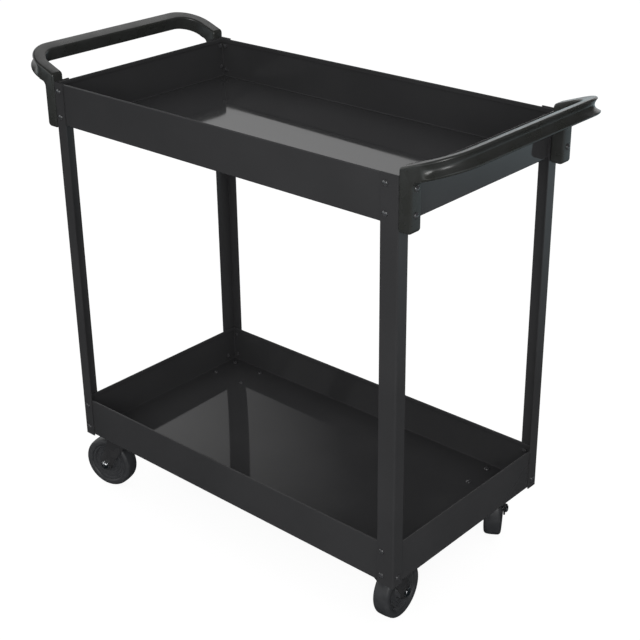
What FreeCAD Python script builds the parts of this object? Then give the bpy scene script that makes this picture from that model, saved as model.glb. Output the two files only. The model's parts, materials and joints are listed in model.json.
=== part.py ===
"""Two-shelf service cart: pressed trays on angle legs, a moulded grip at each end and four swivel casters.

Millimetres and degrees. The origin is on the floor below the middle of the trays, +X runs along the
length of the trays and +Z is up.
"""
import FreeCAD, Part
import math
import os
import re
from collections import namedtuple

import Sketcher

doc = FreeCAD.newDocument("service_cart")
sheet = doc.addObject("Spreadsheet::Sheet", "Sizes")

SIZES = dict(
    # trays
    tray_length=758.0,
    tray_width=407.0,
    tray_depth=75.3,
    tray_gauge=1.5,
    tray_bend=2.5,
    tray_pitch=621.5,
    hem_height=8.0,
    # legs of unequal angle
    leg_wide=32.8,
    leg_narrow=23.2,
    leg_gauge=2.0,
    leg_bend=3.0,
    leg_drop=1.5,
    leg_rise=1.5,
    # hexagon bolts with a square neck that cannot turn in its hole, and their cap nuts
    bolt_neck=5.0,
    bolt_hole_gap=0.3,
    bolt_head_across=9.0,
    bolt_head_height=3.0,
    nut_across=8.0,
    nut_height=4.0,
    wide_flange_line=24.0,
    narrow_flange_line=12.5,
    bolt_line_low=15.0,
    bolt_line_high=61.0,
    # moulded grips
    grip_reach=88.0,
    grip_rise=46.3,
    grip_tilt=20.0,
    grip_overhang=1.5,
    grip_width=23.5,
    grip_height=26.5,
    grip_bend=47.0,
    grip_bevel=2.5,
    groove_mouth=18.0,
    groove_floor=8.0,
    groove_depth=6.3,
    foot_depth=24.0,
    foot_below_tray=7.0,
    foot_round=7.0,
    arm_fillet=8.0,
    foot_bolt_line=9.5,
    foot_bolt_below_rim=14.3,
    foot_bolt_pitch=40.0,
    # swivel casters
    caster_height=124.8,
    swivel_from_end=54.0,
    swivel_from_side=46.5,
    front_left_swivel_angle=194.0,
    front_right_swivel_angle=95.5,
    rear_left_swivel_angle=160.0,
    rear_right_swivel_angle=120.0,
    plate_length=98.0,
    plate_width=80.0,
    plate_gauge=3.0,
    plate_bevel=8.0,
    plate_bolt_length=72.6,
    plate_bolt_width=57.0,
    race_radius=20.5,
    race_height=8.7,
    race_gap=0.3,
    kingpin_radius=6.0,
    kingpin_head_across=18.0,
    kingpin_head_height=7.0,
    running_gap=0.06,
    fork_gauge=3.0,
    fork_front=20.0,
    fork_back=26.0,
    fork_boss=13.0,
    fork_end_round=12.5,
    fork_bevel=3.0,
    trail=36.0,
    wheel_diameter=101.6,
    tyre_width=31.0,
    rim_radius=37.0,
    rim_width=20.0,
    hub_radius=13.0,
    hub_width=34.0,
    hub_side_gap=1.0,
    axle_radius=5.0,
    axle_head_across=15.0,
    axle_head_height=5.5,
    axle_nut_height=7.0,
)

Corner = namedtuple("Corner", "name along across")
CORNERS = (
    Corner("front_left", -1, -1),
    Corner("front_right", 1, -1),
    Corner("rear_left", -1, 1),
    Corner("rear_right", 1, 1),
)

# Places that several pieces share, as formulas on the sizes above
LEG_FACE_X = "(tray_length / 2 + leg_gauge)"
LEG_FACE_Y = "(tray_width / 2 + leg_gauge)"
LOWER_TRAY = "caster_height"
UPPER_TRAY = "(caster_height + tray_pitch)"
RIM = "(caster_height + tray_pitch + tray_depth)"
BOLT_HOLE = "(bolt_neck + 2 * bolt_hole_gap)"
WALL_GRIP = "(leg_gauge + tray_gauge)"
FOOT_BOLT_Y = "(tray_width / 2 + leg_gauge - foot_bolt_line)"
FOOT_BOLT_HIGH = "(caster_height + tray_pitch + tray_depth - foot_bolt_below_rim)"
FOOT_BOLT_LOW = "(caster_height + tray_pitch + tray_depth - foot_bolt_below_rim - foot_bolt_pitch)"
GRIP_X = f"({LEG_FACE_X} + grip_reach - grip_width / 2 * cos(grip_tilt) + grip_height / 2 * sin(grip_tilt))"
GRIP_Z = f"({RIM} + grip_rise - grip_width / 2 * sin(grip_tilt) - grip_height / 2 * cos(grip_tilt))"
GRIP_SIDE = "(tray_width / 2 + leg_gauge + grip_overhang)"
GRIP_ARM_Y = "(tray_width / 2 + leg_gauge + grip_overhang - grip_width / 2)"
PLATE_UNDER = "(caster_height - plate_gauge)"
CROWN_TOP = "(caster_height - plate_gauge - race_gap - race_height)"
CROWN_UNDER = "(caster_height - plate_gauge - race_gap - race_height - fork_gauge)"
KINGPIN_LENGTH = "(race_gap + race_height + fork_gauge + race_gap)"
FORK_INNER = "(hub_width + 2 * hub_side_gap)"
FORK_OUTER = "(hub_width + 2 * hub_side_gap + 2 * fork_gauge)"
AXLE_Z = "(wheel_diameter / 2)"
FULL_TURN = 360
QUARTER_TURN = 90
HEXAGON = range(0, FULL_TURN, FULL_TURN // 6)
WORDS_OF_FORMULAS = ("sin", "cos", "tan", "sqrt")

pieces = []


def fill_sheet():
    """Write each size to a row of the sheet under its own alias."""
    for row, (name, value) in enumerate(SIZES.items(), 1):
        sheet.set(f"A{row}", name)
        sheet.set(f"B{row}", str(value))
        sheet.setAlias(f"B{row}", name)
    doc.recompute()


def size(formula):
    """Number that a formula on the sheet's sizes gives."""
    return float(sheet.evalExpression(str(formula)))


def bound(formula):
    """The formula as other objects of the document write it, with the sheet's name before each size."""
    def with_sheet(match):
        word = match.group(0)
        return word if word in WORDS_OF_FORMULAS else f"Sizes.{word}"
    return re.sub(r"\b[a-z][a-z_]*", with_sheet, str(formula))


def new_body(label, x="0", y="0", z="0", heading="0"):
    """Empty body of a piece, placed by formulas and turned about +Z by a heading."""
    body = doc.addObject("PartDesign::Body", label)
    body.Label = label
    body.Placement = FreeCAD.Placement(FreeCAD.Vector(), FreeCAD.Rotation(FreeCAD.Vector(0, 0, 1), 1))
    body.setExpression("Placement.Base.x", bound(x))
    body.setExpression("Placement.Base.y", bound(y))
    body.setExpression("Placement.Base.z", bound(z))
    body.setExpression("Placement.Rotation.Angle", bound(heading))
    return body


def new_sketch(body, role, shift=("0", "0", "0"), tilt_axis=None, tilt="0"):
    """Sketch on one of the body's origin planes, moved and tilted in that plane's own axes by formulas."""
    sketch = body.newObject("Sketcher::SketchObject", f"{body.Label}_sketch")
    plane = next(item for item in body.Origin.OriginFeatures if item.Role == role)
    sketch.AttachmentSupport = [(plane, "")]
    sketch.MapMode = "FlatFace"
    turn = FreeCAD.Rotation(FreeCAD.Vector(*tilt_axis), 1) if tilt_axis else FreeCAD.Rotation()
    sketch.AttachmentOffset = FreeCAD.Placement(FreeCAD.Vector(), turn)
    for axis, formula in zip("xyz", shift):
        sketch.setExpression(f"AttachmentOffset.Base.{axis}", bound(formula))
    if tilt_axis:
        sketch.setExpression("AttachmentOffset.Rotation.Angle", bound(tilt))
    return sketch


def hold(sketch, kind, formula, *where):
    """Add a dimension of the sketch and bind it to a formula."""
    index = sketch.addConstraint(Sketcher.Constraint(kind, *where, size(formula)))
    name = f"{kind}_{index}"
    sketch.renameConstraint(index, name)
    sketch.setExpression(f"Constraints.{name}", bound(formula))


def hold_point(sketch, geometry, end, x, y):
    """Bind both coordinates of one end of a sketch line, or of a centre."""
    hold(sketch, "DistanceX", x, -1, 1, geometry, end)
    hold(sketch, "DistanceY", y, -1, 1, geometry, end)


def draw_polygon(sketch, corners):
    """Closed outline of straight lines through corners given as pairs of formulas."""
    points = [FreeCAD.Vector(size(x), size(y), 0) for x, y in corners]
    first = sketch.GeometryCount
    for start, end in zip(points, points[1:] + points[:1]):
        sketch.addGeometry(Part.LineSegment(start, end))
    for index, (x, y) in enumerate(corners):
        following = first + (index + 1) % len(corners)
        sketch.addConstraint(Sketcher.Constraint("Coincident", first + index, 2, following, 1))
        hold_point(sketch, first + index, 1, x, y)
    return sketch


def draw_rectangle(sketch, left, right, bottom, top):
    """Rectangle between four formulas."""
    return draw_polygon(sketch, [(left, bottom), (right, bottom), (right, top), (left, top)])


def draw_square(sketch, x, y, side):
    """Square of one side about a centre."""
    half = f"{side} / 2"
    return draw_rectangle(sketch, f"{x} - {half}", f"{x} + {half}", f"{y} - {half}", f"{y} + {half}")


def draw_hexagon(sketch, x, y, across):
    """Regular hexagon of a width across flats, with two corners on the local X line through its centre."""
    reach = f"{across} / 2 / cos(30)"
    corners = [(f"{x} + {reach} * cos({turn})", f"{y} + {reach} * sin({turn})") for turn in HEXAGON]
    return draw_polygon(sketch, corners)


def draw_circle(sketch, x, y, radius):
    """Circle about a centre."""
    centre = FreeCAD.Vector(size(x), size(y), 0)
    index = sketch.addGeometry(Part.Circle(centre, FreeCAD.Vector(0, 0, 1), size(radius)))
    hold_point(sketch, index, 3, x, y)
    hold(sketch, "Radius", radius, index)
    return sketch


def draw_bevelled(sketch, left, right, bottom, top, bevel):
    """Rectangle whose corners are cut off at 45 degrees."""
    return draw_polygon(sketch, [
        (f"{left} + {bevel}", bottom),
        (f"{right} - {bevel}", bottom),
        (right, f"{bottom} + {bevel}"),
        (right, f"{top} - {bevel}"),
        (f"{right} - {bevel}", top),
        (f"{left} + {bevel}", top),
        (left, f"{top} - {bevel}"),
        (left, f"{bottom} + {bevel}"),
    ])


def pad(body, sketch, length, midplane=False, backwards=False):
    """Pad a sketch along its normal, to both sides or backwards where asked."""
    feature = body.newObject("PartDesign::Pad", f"{body.Label}_pad")
    feature.Profile = sketch
    feature.Midplane = midplane
    feature.Reversed = backwards
    feature.setExpression("Length", bound(length))
    doc.recompute()
    return feature


def pocket(body, sketch, length, midplane=False, backwards=False):
    """Pocket against the sketch's normal by default, and stop if it takes nothing away."""
    before = body.Tip.Shape.Volume
    feature = body.newObject("PartDesign::Pocket", f"{body.Label}_pocket")
    feature.Profile = sketch
    feature.Midplane = midplane
    feature.Reversed = backwards
    feature.setExpression("Length", bound(length))
    doc.recompute()
    if not feature.Shape.Volume < before:
        raise RuntimeError(f"{body.Label}: a pocket takes nothing away")
    return feature


def revolve(body, sketch):
    """Full turn of a sketch about its own upright axis."""
    feature = body.newObject("PartDesign::Revolution", f"{body.Label}_revolution")
    feature.Profile = sketch
    feature.ReferenceAxis = (sketch, ["V_Axis"])
    feature.Angle = FULL_TURN
    doc.recompute()
    return feature


def pipe(body, kind, profile, spine):
    """Carry a profile along a spine, adding or taking away."""
    feature = body.newObject(kind, f"{body.Label}_pipe")
    feature.Profile = profile
    feature.Spine = spine
    doc.recompute()
    return feature


def treat_edges(body, kind, measure, formula, picked):
    """Fillet or chamfer the edges of the body for which picked(edge) holds."""
    base = body.Tip
    names = [f"Edge{index}" for index, edge in enumerate(base.Shape.Edges, 1) if picked(edge)]
    if not names:
        raise RuntimeError(f"{body.Label}: no edge to treat")
    feature = body.newObject(f"PartDesign::{kind}", f"{body.Label}_{kind}")
    feature.Base = (base, names)
    feature.setExpression(measure, bound(formula))
    doc.recompute()
    return feature


def round_edges(body, radius, picked):
    """Fillet the picked edges."""
    return treat_edges(body, "Fillet", "Radius", radius, picked)


def bevel_edges(body, bevel, picked):
    """Chamfer the picked edges at 45 degrees."""
    return treat_edges(body, "Chamfer", "Size", bevel, picked)


def same(first, second):
    """Whether two lengths agree to a thousandth of a millimetre."""
    return abs(first - second) < 1e-3


def edge_through(x=None, y=None, z=None):
    """Test for edges that keep the given coordinates from end to end."""
    wanted = {axis: size(value) for axis, value in zip("xyz", (x, y, z)) if value is not None}

    def test(edge):
        return all(same(getattr(vertex, axis), value)
                   for vertex in (corner.Point for corner in edge.Vertexes)
                   for axis, value in wanted.items())
    return test


def keep(piece):
    """Put a finished piece on the list that is written out."""
    pieces.append(piece)
    return piece


def flange_lines(along):
    """Width and bolt line of a leg's side flange and of its end flange: one end has its legs turned over."""
    wide = ("leg_wide", "wide_flange_line")
    narrow = ("leg_narrow", "narrow_flange_line")
    return (wide, narrow) if along > 0 else (narrow, wide)


def side_bolt_x(along):
    """X of the bolts through a leg's side flange."""
    (_, line), _ = flange_lines(along)
    return f"{along} * ({LEG_FACE_X} - {line})"


def end_bolt_y(along, across):
    """Y of the bolt through a leg's end flange at the lower tray."""
    _, (_, line) = flange_lines(along)
    return f"{across} * ({LEG_FACE_Y} - {line})"


def swivel_place(corner):
    """X and Y of a caster's swivel axis."""
    return (f"{corner.along} * (tray_length / 2 - swivel_from_end)",
            f"{corner.across} * (tray_width / 2 - swivel_from_side)")


def plate_bolts(x, y):
    """Centres of the four bolts of a caster plate about its swivel axis."""
    return [(f"{x} + {right} * plate_bolt_length / 2", f"{y} + {back} * plate_bolt_width / 2")
            for right in (-1, 1) for back in (-1, 1)]


def build_tray(label, under):
    """Pressed tray: a pad hollowed from its rim, with a hem folded inwards along the top of its walls."""
    body = new_body(label)
    half_length = "tray_length / 2"
    half_width = "tray_width / 2"
    outline = draw_rectangle(new_sketch(body, "XY_Plane", ("0", "0", under)),
                             f"-{half_length}", half_length, f"-{half_width}", half_width)
    pad(body, outline, "tray_depth")
    round_edges(body, "tray_bend", edge_through(z=under))
    inset = "2 * tray_gauge"
    mouth = draw_rectangle(new_sketch(body, "XY_Plane", ("0", "0", f"{under} + tray_depth")),
                           f"{inset} - {half_length}", f"{half_length} - {inset}",
                           f"{inset} - {half_width}", f"{half_width} - {inset}")
    pocket(body, mouth, "hem_height")
    inside = draw_rectangle(new_sketch(body, "XY_Plane", ("0", "0", f"{under} + tray_depth - hem_height")),
                            f"tray_gauge - {half_length}", f"{half_length} - tray_gauge",
                            f"tray_gauge - {half_width}", f"{half_width} - tray_gauge")
    pocket(body, inside, "tray_depth - hem_height - tray_gauge")
    side_holes = new_sketch(body, "XZ_Plane")
    for along in (-1, 1):
        for line in ("bolt_line_low", "bolt_line_high"):
            draw_square(side_holes, side_bolt_x(along), f"{under} + {line}", BOLT_HOLE)
    pocket(body, side_holes, "2 * tray_width", midplane=True)
    return keep(body)


def build_upper_tray():
    """Upper tray, with the holes of the grips' bolts through both end walls."""
    body = build_tray("upper_tray", UPPER_TRAY)
    end_holes = new_sketch(body, "YZ_Plane")
    for across in (-1, 1):
        for height in (FOOT_BOLT_HIGH, FOOT_BOLT_LOW):
            draw_square(end_holes, f"{across} * {FOOT_BOLT_Y}", height, BOLT_HOLE)
    pocket(body, end_holes, "2 * tray_length", midplane=True)


def build_lower_tray():
    """Lower tray, with one bolt hole at each end of an end wall and the casters' holes in its floor."""
    body = build_tray("lower_tray", LOWER_TRAY)
    for along in (-1, 1):
        end_holes = new_sketch(body, "YZ_Plane")
        for across in (-1, 1):
            draw_square(end_holes, end_bolt_y(along, across), f"{LOWER_TRAY} + bolt_line_low", BOLT_HOLE)
        pocket(body, end_holes, "tray_length", backwards=along > 0)
    floor_holes = new_sketch(body, "XY_Plane", ("0", "0", LOWER_TRAY))
    for corner in CORNERS:
        for x, y in plate_bolts(*swivel_place(corner)):
            draw_square(floor_holes, x, y, BOLT_HOLE)
    pocket(body, floor_holes, "tray_depth", backwards=True)


def build_leg(corner):
    """Leg of unequal angle with a bent corner, punched for the bolts of both trays and of the grip."""
    body = new_body(f"leg_{corner.name}")
    (side_flange, _), (end_flange, _) = flange_lines(corner.along)

    def place(x, y):
        return (f"{corner.along} * ({LEG_FACE_X} - {x})", f"{corner.across} * ({LEG_FACE_Y} - {y})")

    bottom = f"{LOWER_TRAY} - leg_drop"
    angle = draw_polygon(new_sketch(body, "XY_Plane", ("0", "0", bottom)), [
        place("0", "0"),
        place(side_flange, "0"),
        place(side_flange, "leg_gauge"),
        place("leg_gauge", "leg_gauge"),
        place("leg_gauge", end_flange),
        place("0", end_flange),
    ])
    pad(body, angle, f"{RIM} + leg_rise - ({bottom})")
    corner_x, corner_y = place("0", "0")
    round_edges(body, "leg_bend", edge_through(x=corner_x, y=corner_y))
    side_holes = new_sketch(body, "XZ_Plane")
    for under in (LOWER_TRAY, UPPER_TRAY):
        for line in ("bolt_line_low", "bolt_line_high"):
            draw_square(side_holes, side_bolt_x(corner.along), f"{under} + {line}", BOLT_HOLE)
    pocket(body, side_holes, "2 * tray_width", midplane=True)
    end_holes = new_sketch(body, "YZ_Plane")
    end_places = [(end_bolt_y(corner.along, corner.across), f"{LOWER_TRAY} + bolt_line_low")]
    end_places += [(f"{corner.across} * {FOOT_BOLT_Y}", height) for height in (FOOT_BOLT_HIGH, FOOT_BOLT_LOW)]
    for y, z in end_places:
        draw_square(end_holes, y, z, BOLT_HOLE)
    pocket(body, end_holes, "2 * tray_length", midplane=True)
    keep(body)


def grip_line(x, across):
    """Height of the grip's sloping top (across 1) or underside (across -1) at a distance x."""
    return f"{GRIP_Z} + ({x} - {GRIP_X}) * tan(grip_tilt) + {across} * grip_height / 2 / cos(grip_tilt)"


def grip_arm_end(across):
    """X and Z of the top or underside of a grip's arm where its bend starts."""
    return (f"{GRIP_X} - grip_bend * cos(grip_tilt) - {across} * grip_height / 2 * sin(grip_tilt)",
            f"{GRIP_Z} - grip_bend * sin(grip_tilt) + {across} * grip_height / 2 * cos(grip_tilt)")


def build_grip_arm(body, across):
    """One foot and arm of a grip: a side outline padded to the grip's width, rounded and bevelled."""
    outer_x = f"{LEG_FACE_X} + foot_depth"
    bottom = f"{UPPER_TRAY} - foot_below_tray"
    outer_y = f"{across} * {GRIP_SIDE}"
    inner_y = f"{across} * ({GRIP_SIDE} - grip_width)"
    corner_high = (LEG_FACE_X, grip_line(LEG_FACE_X, 1))
    corner_low = (outer_x, bottom)
    corner_inside = (outer_x, grip_line(outer_x, -1))
    outline = draw_polygon(new_sketch(body, "XZ_Plane", ("0", "0", f"-{outer_y}")), [
        (LEG_FACE_X, bottom),
        corner_low,
        corner_inside,
        grip_arm_end(-1),
        grip_arm_end(1),
        corner_high,
    ])
    pad(body, outline, "grip_width", backwards=across < 0)
    for radius, spots in (("foot_round", (corner_low, corner_high)), ("arm_fillet", (corner_inside,))):
        tests = [edge_through(x=x, z=z) for x, z in spots]

        def on_this_side(edge):
            return edge.CenterOfMass.y * across > 0 and any(test(edge) for test in tests)
        round_edges(body, radius, on_this_side)
    sides = [edge_through(y=outer_y), edge_through(y=inner_y)]
    leg_face = edge_through(x=LEG_FACE_X)
    bend_x, bend_z = (size(f"({low} + {high}) / 2") for low, high in zip(grip_arm_end(-1), grip_arm_end(1)))

    def along_side(edge):
        middle = edge.CenterOfMass
        at_bend = same(middle.x, bend_x) and same(middle.z, bend_z)
        return any(test(edge) for test in sides) and not at_bend and not leg_face(edge)
    bevel_edges(body, "grip_bevel", along_side)


def draw_grip_spine(sketch):
    """Middle line of a grip in its sloping plane: a quarter bend, the straight bar and a quarter bend."""
    centres = ((f"grip_bend - {GRIP_ARM_Y}", -QUARTER_TURN, "Vertical", "Horizontal"),
               (f"{GRIP_ARM_Y} - grip_bend", 0, "Horizontal", "Vertical"))
    arcs = []
    for y, start, at_start, at_end in centres:
        centre = FreeCAD.Vector(size("-grip_bend"), size(y), 0)
        circle = Part.Circle(centre, FreeCAD.Vector(0, 0, 1), size("grip_bend"))
        ends = (math.radians(start), math.radians(start + QUARTER_TURN))
        arc = sketch.addGeometry(Part.ArcOfCircle(circle, *ends))
        hold_point(sketch, arc, 3, "-grip_bend", y)
        hold(sketch, "Radius", "grip_bend", arc)
        sketch.addConstraint(Sketcher.Constraint(at_start, arc, 3, arc, 1))
        sketch.addConstraint(Sketcher.Constraint(at_end, arc, 3, arc, 2))
        arcs.append(arc)
    line = sketch.addGeometry(Part.LineSegment(sketch.getPoint(arcs[0], 2), sketch.getPoint(arcs[1], 1)))
    sketch.addConstraint(Sketcher.Constraint("Coincident", arcs[0], 2, line, 1))
    sketch.addConstraint(Sketcher.Constraint("Coincident", line, 2, arcs[1], 1))
    return sketch


def build_grip(label, heading):
    """Moulded grip: bolted feet that rise into one bar, with a tapered finger groove round its outer side."""
    body = new_body(label, heading=heading)
    for across in (-1, 1):
        build_grip_arm(body, across)
    start_x, start_z = (f"{GRIP_X} - grip_bend * cos(grip_tilt)", f"{GRIP_Z} - grip_bend * sin(grip_tilt)")
    spine = draw_grip_spine(new_sketch(body, "XY_Plane", (GRIP_X, "0", GRIP_Z), (0, -1, 0), "grip_tilt"))
    across_start = ("0", start_z, start_x)
    bar = draw_bevelled(new_sketch(body, "YZ_Plane", across_start, (-1, 0, 0), "grip_tilt"),
                        f"-{GRIP_SIDE}", f"grip_width - {GRIP_SIDE}",
                        "-grip_height / 2", "grip_height / 2", "grip_bevel")
    pipe(body, "PartDesign::AdditivePipe", bar, spine)
    outside = f"-{GRIP_SIDE} - groove_depth"
    inside = f"groove_depth - {GRIP_SIDE}"
    groove = draw_polygon(new_sketch(body, "YZ_Plane", across_start, (-1, 0, 0), "grip_tilt"), [
        (outside, "groove_floor / 2 - groove_mouth"),
        (inside, "-groove_floor / 2"),
        (inside, "groove_floor / 2"),
        (outside, "groove_mouth - groove_floor / 2"),
    ])
    pipe(body, "PartDesign::SubtractivePipe", groove, spine)
    holes = new_sketch(body, "YZ_Plane", ("0", "0", LEG_FACE_X))
    for across in (-1, 1):
        for height in (FOOT_BOLT_HIGH, FOOT_BOLT_LOW):
            draw_square(holes, f"{across} * {FOOT_BOLT_Y}", height, BOLT_HOLE)
    pocket(body, holes, "2 * foot_depth", backwards=True)
    keep(body)


def bolt_pattern(label, grip):
    """Hexagon bolt with a square neck as long as what it clamps, its head above the local XY plane."""
    body = new_body(label)
    neck = draw_square(new_sketch(body, "XY_Plane"), "0", "0", "bolt_neck")
    pad(body, neck, grip, backwards=True)
    head = draw_hexagon(new_sketch(body, "XY_Plane"), "0", "0", "bolt_head_across")
    pad(body, head, "bolt_head_height")
    return body


def nut_pattern(label):
    """Hexagon cap nut that stands on the local XY plane, upside down under it."""
    body = new_body(label)
    outline = draw_hexagon(new_sketch(body, "XY_Plane"), "0", "0", "nut_across")
    pad(body, outline, "nut_height", backwards=True)
    return body


def set_out(label, pattern, places):
    """Set of equal fasteners as one piece: the pattern copied to each place, its head turned outwards."""
    solids = []
    for (x, y, z), outwards in places:
        turn = FreeCAD.Rotation(FreeCAD.Vector(0, 0, 1), FreeCAD.Vector(*outwards))
        solid = pattern.Shape.copy()
        solid.Placement = FreeCAD.Placement(FreeCAD.Vector(size(x), size(y), size(z)), turn)
        solids.append(solid)
    group = doc.addObject("Part::Feature", label)
    group.Label = label
    group.Shape = Part.makeCompound(solids)
    keep(group)


def inwards(places, grip):
    """The places on the far side of what a bolt clamps, for its nut."""
    return [((f"{x} - {ox} * {grip}", f"{y} - {oy} * {grip}", f"{z} - {oz} * {grip}"), (ox, oy, oz))
            for (x, y, z), (ox, oy, oz) in places]


def build_fasteners():
    """Bolts and nuts of the legs, of the grips and of the casters, each kind as one set."""
    tray_bolts = {}
    for name, under in (("upper_tray", UPPER_TRAY), ("lower_tray", LOWER_TRAY)):
        tray_bolts[name] = [
            ((side_bolt_x(along), f"{across} * {LEG_FACE_Y}", f"{under} + {line}"), (0, across, 0))
            for _, along, across in CORNERS for line in ("bolt_line_low", "bolt_line_high")
        ]
    end_bolt_z = f"{LOWER_TRAY} + bolt_line_low"
    tray_bolts["lower_tray"] += [
        ((f"{along} * {LEG_FACE_X}", end_bolt_y(along, across), end_bolt_z), (along, 0, 0))
        for _, along, across in CORNERS
    ]
    grip_bolts = [
        ((f"{along} * ({LEG_FACE_X} + foot_depth)", f"{across} * {FOOT_BOLT_Y}", height), (along, 0, 0))
        for _, along, across in CORNERS for height in (FOOT_BOLT_HIGH, FOOT_BOLT_LOW)
    ]
    caster_bolts = [
        ((x, y, f"{LOWER_TRAY} + tray_gauge"), (0, 0, 1))
        for corner in CORNERS for x, y in plate_bolts(*swivel_place(corner))
    ]
    nut = nut_pattern("nut_pattern")
    sets = (
        ("upper_tray", tray_bolts["upper_tray"], WALL_GRIP),
        ("lower_tray", tray_bolts["lower_tray"], WALL_GRIP),
        ("grip", grip_bolts, f"({WALL_GRIP} + foot_depth)"),
        ("caster", caster_bolts, "(tray_gauge + plate_gauge)"),
    )
    for name, places, grip in sets:
        set_out(f"{name}_bolts", bolt_pattern(f"{name}_bolt_pattern", grip), places)
        set_out(f"{name}_nuts", nut, inwards(places, grip))


def build_caster_plate(corner):
    """Top plate of a caster with square bolt holes, and the kingpin whose hexagon head carries the fork."""
    x, y = swivel_place(corner)
    body = new_body(f"caster_plate_{corner.name}", x, y, PLATE_UNDER)
    plate = draw_bevelled(new_sketch(body, "XY_Plane"), "-plate_length / 2", "plate_length / 2",
                          "-plate_width / 2", "plate_width / 2", "plate_bevel")
    pad(body, plate, "plate_gauge")
    holes = new_sketch(body, "XY_Plane")
    for hole_x, hole_y in plate_bolts("0", "0"):
        draw_square(holes, hole_x, hole_y, BOLT_HOLE)
    pocket(body, holes, "plate_gauge", backwards=True)
    shank = draw_circle(new_sketch(body, "XY_Plane"), "0", "0", "kingpin_radius")
    pad(body, shank, KINGPIN_LENGTH, backwards=True)
    head = new_sketch(body, "XY_Plane", ("0", "0", f"-{KINGPIN_LENGTH}"))
    draw_hexagon(head, "0", "0", "kingpin_head_across")
    pad(body, head, "kingpin_head_height", backwards=True)
    keep(body)


def caster_body(kind, corner):
    """Body of a caster piece in its fork's own frame, on the swivel axis with +X the way the wheel trails."""
    x, y = swivel_place(corner)
    return new_body(f"{kind}_{corner.name}", x, y, heading=f"{corner.name}_swivel_angle")


def build_fork(corner):
    """Pressed fork: a channel over the wheel with tapered cheeks and round axle ends, and its swivel race."""
    body = caster_body("fork", corner)
    back_end = "trail + fork_boss"
    front_end = "trail - fork_boss"
    low_end = f"{AXLE_Z} - fork_boss"
    cheek = draw_polygon(new_sketch(body, "XZ_Plane"), [
        ("-fork_front", CROWN_TOP),
        ("fork_back", CROWN_TOP),
        (back_end, AXLE_Z),
        (back_end, low_end),
        (front_end, low_end),
        (front_end, AXLE_Z),
    ])
    pad(body, cheek, FORK_OUTER, midplane=True)
    low_corners = [edge_through(x=x, z=low_end) for x in (back_end, front_end)]
    round_edges(body, "fork_end_round", lambda edge: any(test(edge) for test in low_corners))
    top_edges = [edge_through(y=f"{side} * {FORK_OUTER} / 2", z=CROWN_TOP) for side in (-1, 1)]
    bevel_edges(body, "fork_bevel", lambda edge: any(test(edge) for test in top_edges))
    inside = new_sketch(body, "XZ_Plane")
    draw_rectangle(inside, "-2 * fork_front", "2 * (trail + fork_boss)", "0", CROWN_UNDER)
    pocket(body, inside, FORK_INNER, midplane=True)
    race = draw_circle(new_sketch(body, "XY_Plane", ("0", "0", CROWN_TOP)), "0", "0", "race_radius")
    pad(body, race, "race_height")
    pin_hole = new_sketch(body, "XY_Plane", ("0", "0", CROWN_UNDER))
    draw_circle(pin_hole, "0", "0", "kingpin_radius + running_gap")
    pocket(body, pin_hole, "fork_gauge + race_height", backwards=True)
    axle_hole = draw_circle(new_sketch(body, "XZ_Plane"), "trail", AXLE_Z, "axle_radius + running_gap")
    pocket(body, axle_hole, FORK_OUTER, midplane=True)
    keep(body)


def wheel_body(kind, corner):
    """Body of a wheel piece with its origin at the wheel's middle and its local Y along the axle."""
    x, y = swivel_place(corner)
    heading = f"{corner.name}_swivel_angle"
    middle = (f"{x} + trail * cos({heading})", f"{y} + trail * sin({heading})", AXLE_Z)
    return new_body(f"{kind}_{corner.name}", *middle, heading)


def mirrored(half_section):
    """Turned section closed by its mirror image across the wheel's middle plane."""
    return half_section + [(radius, f"-({half})") for radius, half in reversed(half_section)]


def build_tyre(corner):
    """Rubber tyre: a ring on the wheel's rim."""
    body = wheel_body("tyre", corner)
    half_section = [
        ("rim_radius", "tyre_width / 2"),
        ("wheel_diameter / 2", "tyre_width / 2"),
    ]
    revolve(body, draw_polygon(new_sketch(body, "XY_Plane"), mirrored(half_section)))
    keep(body)


def build_wheel_core(corner):
    """Moulded wheel core: a disc with a raised hub on both sides, bored for the axle."""
    body = wheel_body("wheel_core", corner)
    half_section = [
        ("axle_radius + running_gap", "hub_width / 2"),
        ("hub_radius", "hub_width / 2"),
        ("hub_radius", "rim_width / 2"),
        ("rim_radius", "rim_width / 2"),
    ]
    revolve(body, draw_polygon(new_sketch(body, "XY_Plane"), mirrored(half_section)))
    keep(body)


def build_axle(corner):
    """Axle bolt through both cheeks and the wheel, and its cap nut on the far cheek."""
    near_cheek = ("0", "0", f"{FORK_OUTER} / 2")
    far_cheek = ("0", "0", f"-{FORK_OUTER} / 2")
    bolt = wheel_body("axle_bolt", corner)
    head = draw_hexagon(new_sketch(bolt, "XZ_Plane", near_cheek), "0", "0", "axle_head_across")
    pad(bolt, head, "axle_head_height")
    shank = draw_circle(new_sketch(bolt, "XZ_Plane", near_cheek), "0", "0", "axle_radius")
    pad(bolt, shank, FORK_OUTER, backwards=True)
    keep(bolt)
    nut = wheel_body("axle_nut", corner)
    outline = draw_hexagon(new_sketch(nut, "XZ_Plane", far_cheek), "0", "0", "axle_head_across")
    pad(nut, outline, "axle_nut_height", backwards=True)
    keep(nut)


def build_caster(corner):
    """All pieces of one caster."""
    build_caster_plate(corner)
    build_fork(corner)
    build_tyre(corner)
    build_wheel_core(corner)
    build_axle(corner)


def check_document():
    """Stop if any object of the document failed or any piece has no sound shape."""
    for item in doc.Objects:
        if "Invalid" in item.State or "Error" in item.State:
            raise RuntimeError(f"{item.Label}: {item.State}")
    for piece in pieces:
        if piece.Shape.isNull() or not piece.Shape.isValid():
            raise RuntimeError(f"{piece.Label}: its shape is not sound")


def write_pieces():
    """Write each piece to a file of its own name."""
    os.makedirs("parts", exist_ok=True)
    for piece in pieces:
        piece.Shape.exportStep(f"parts/{piece.Label}.step")


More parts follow.
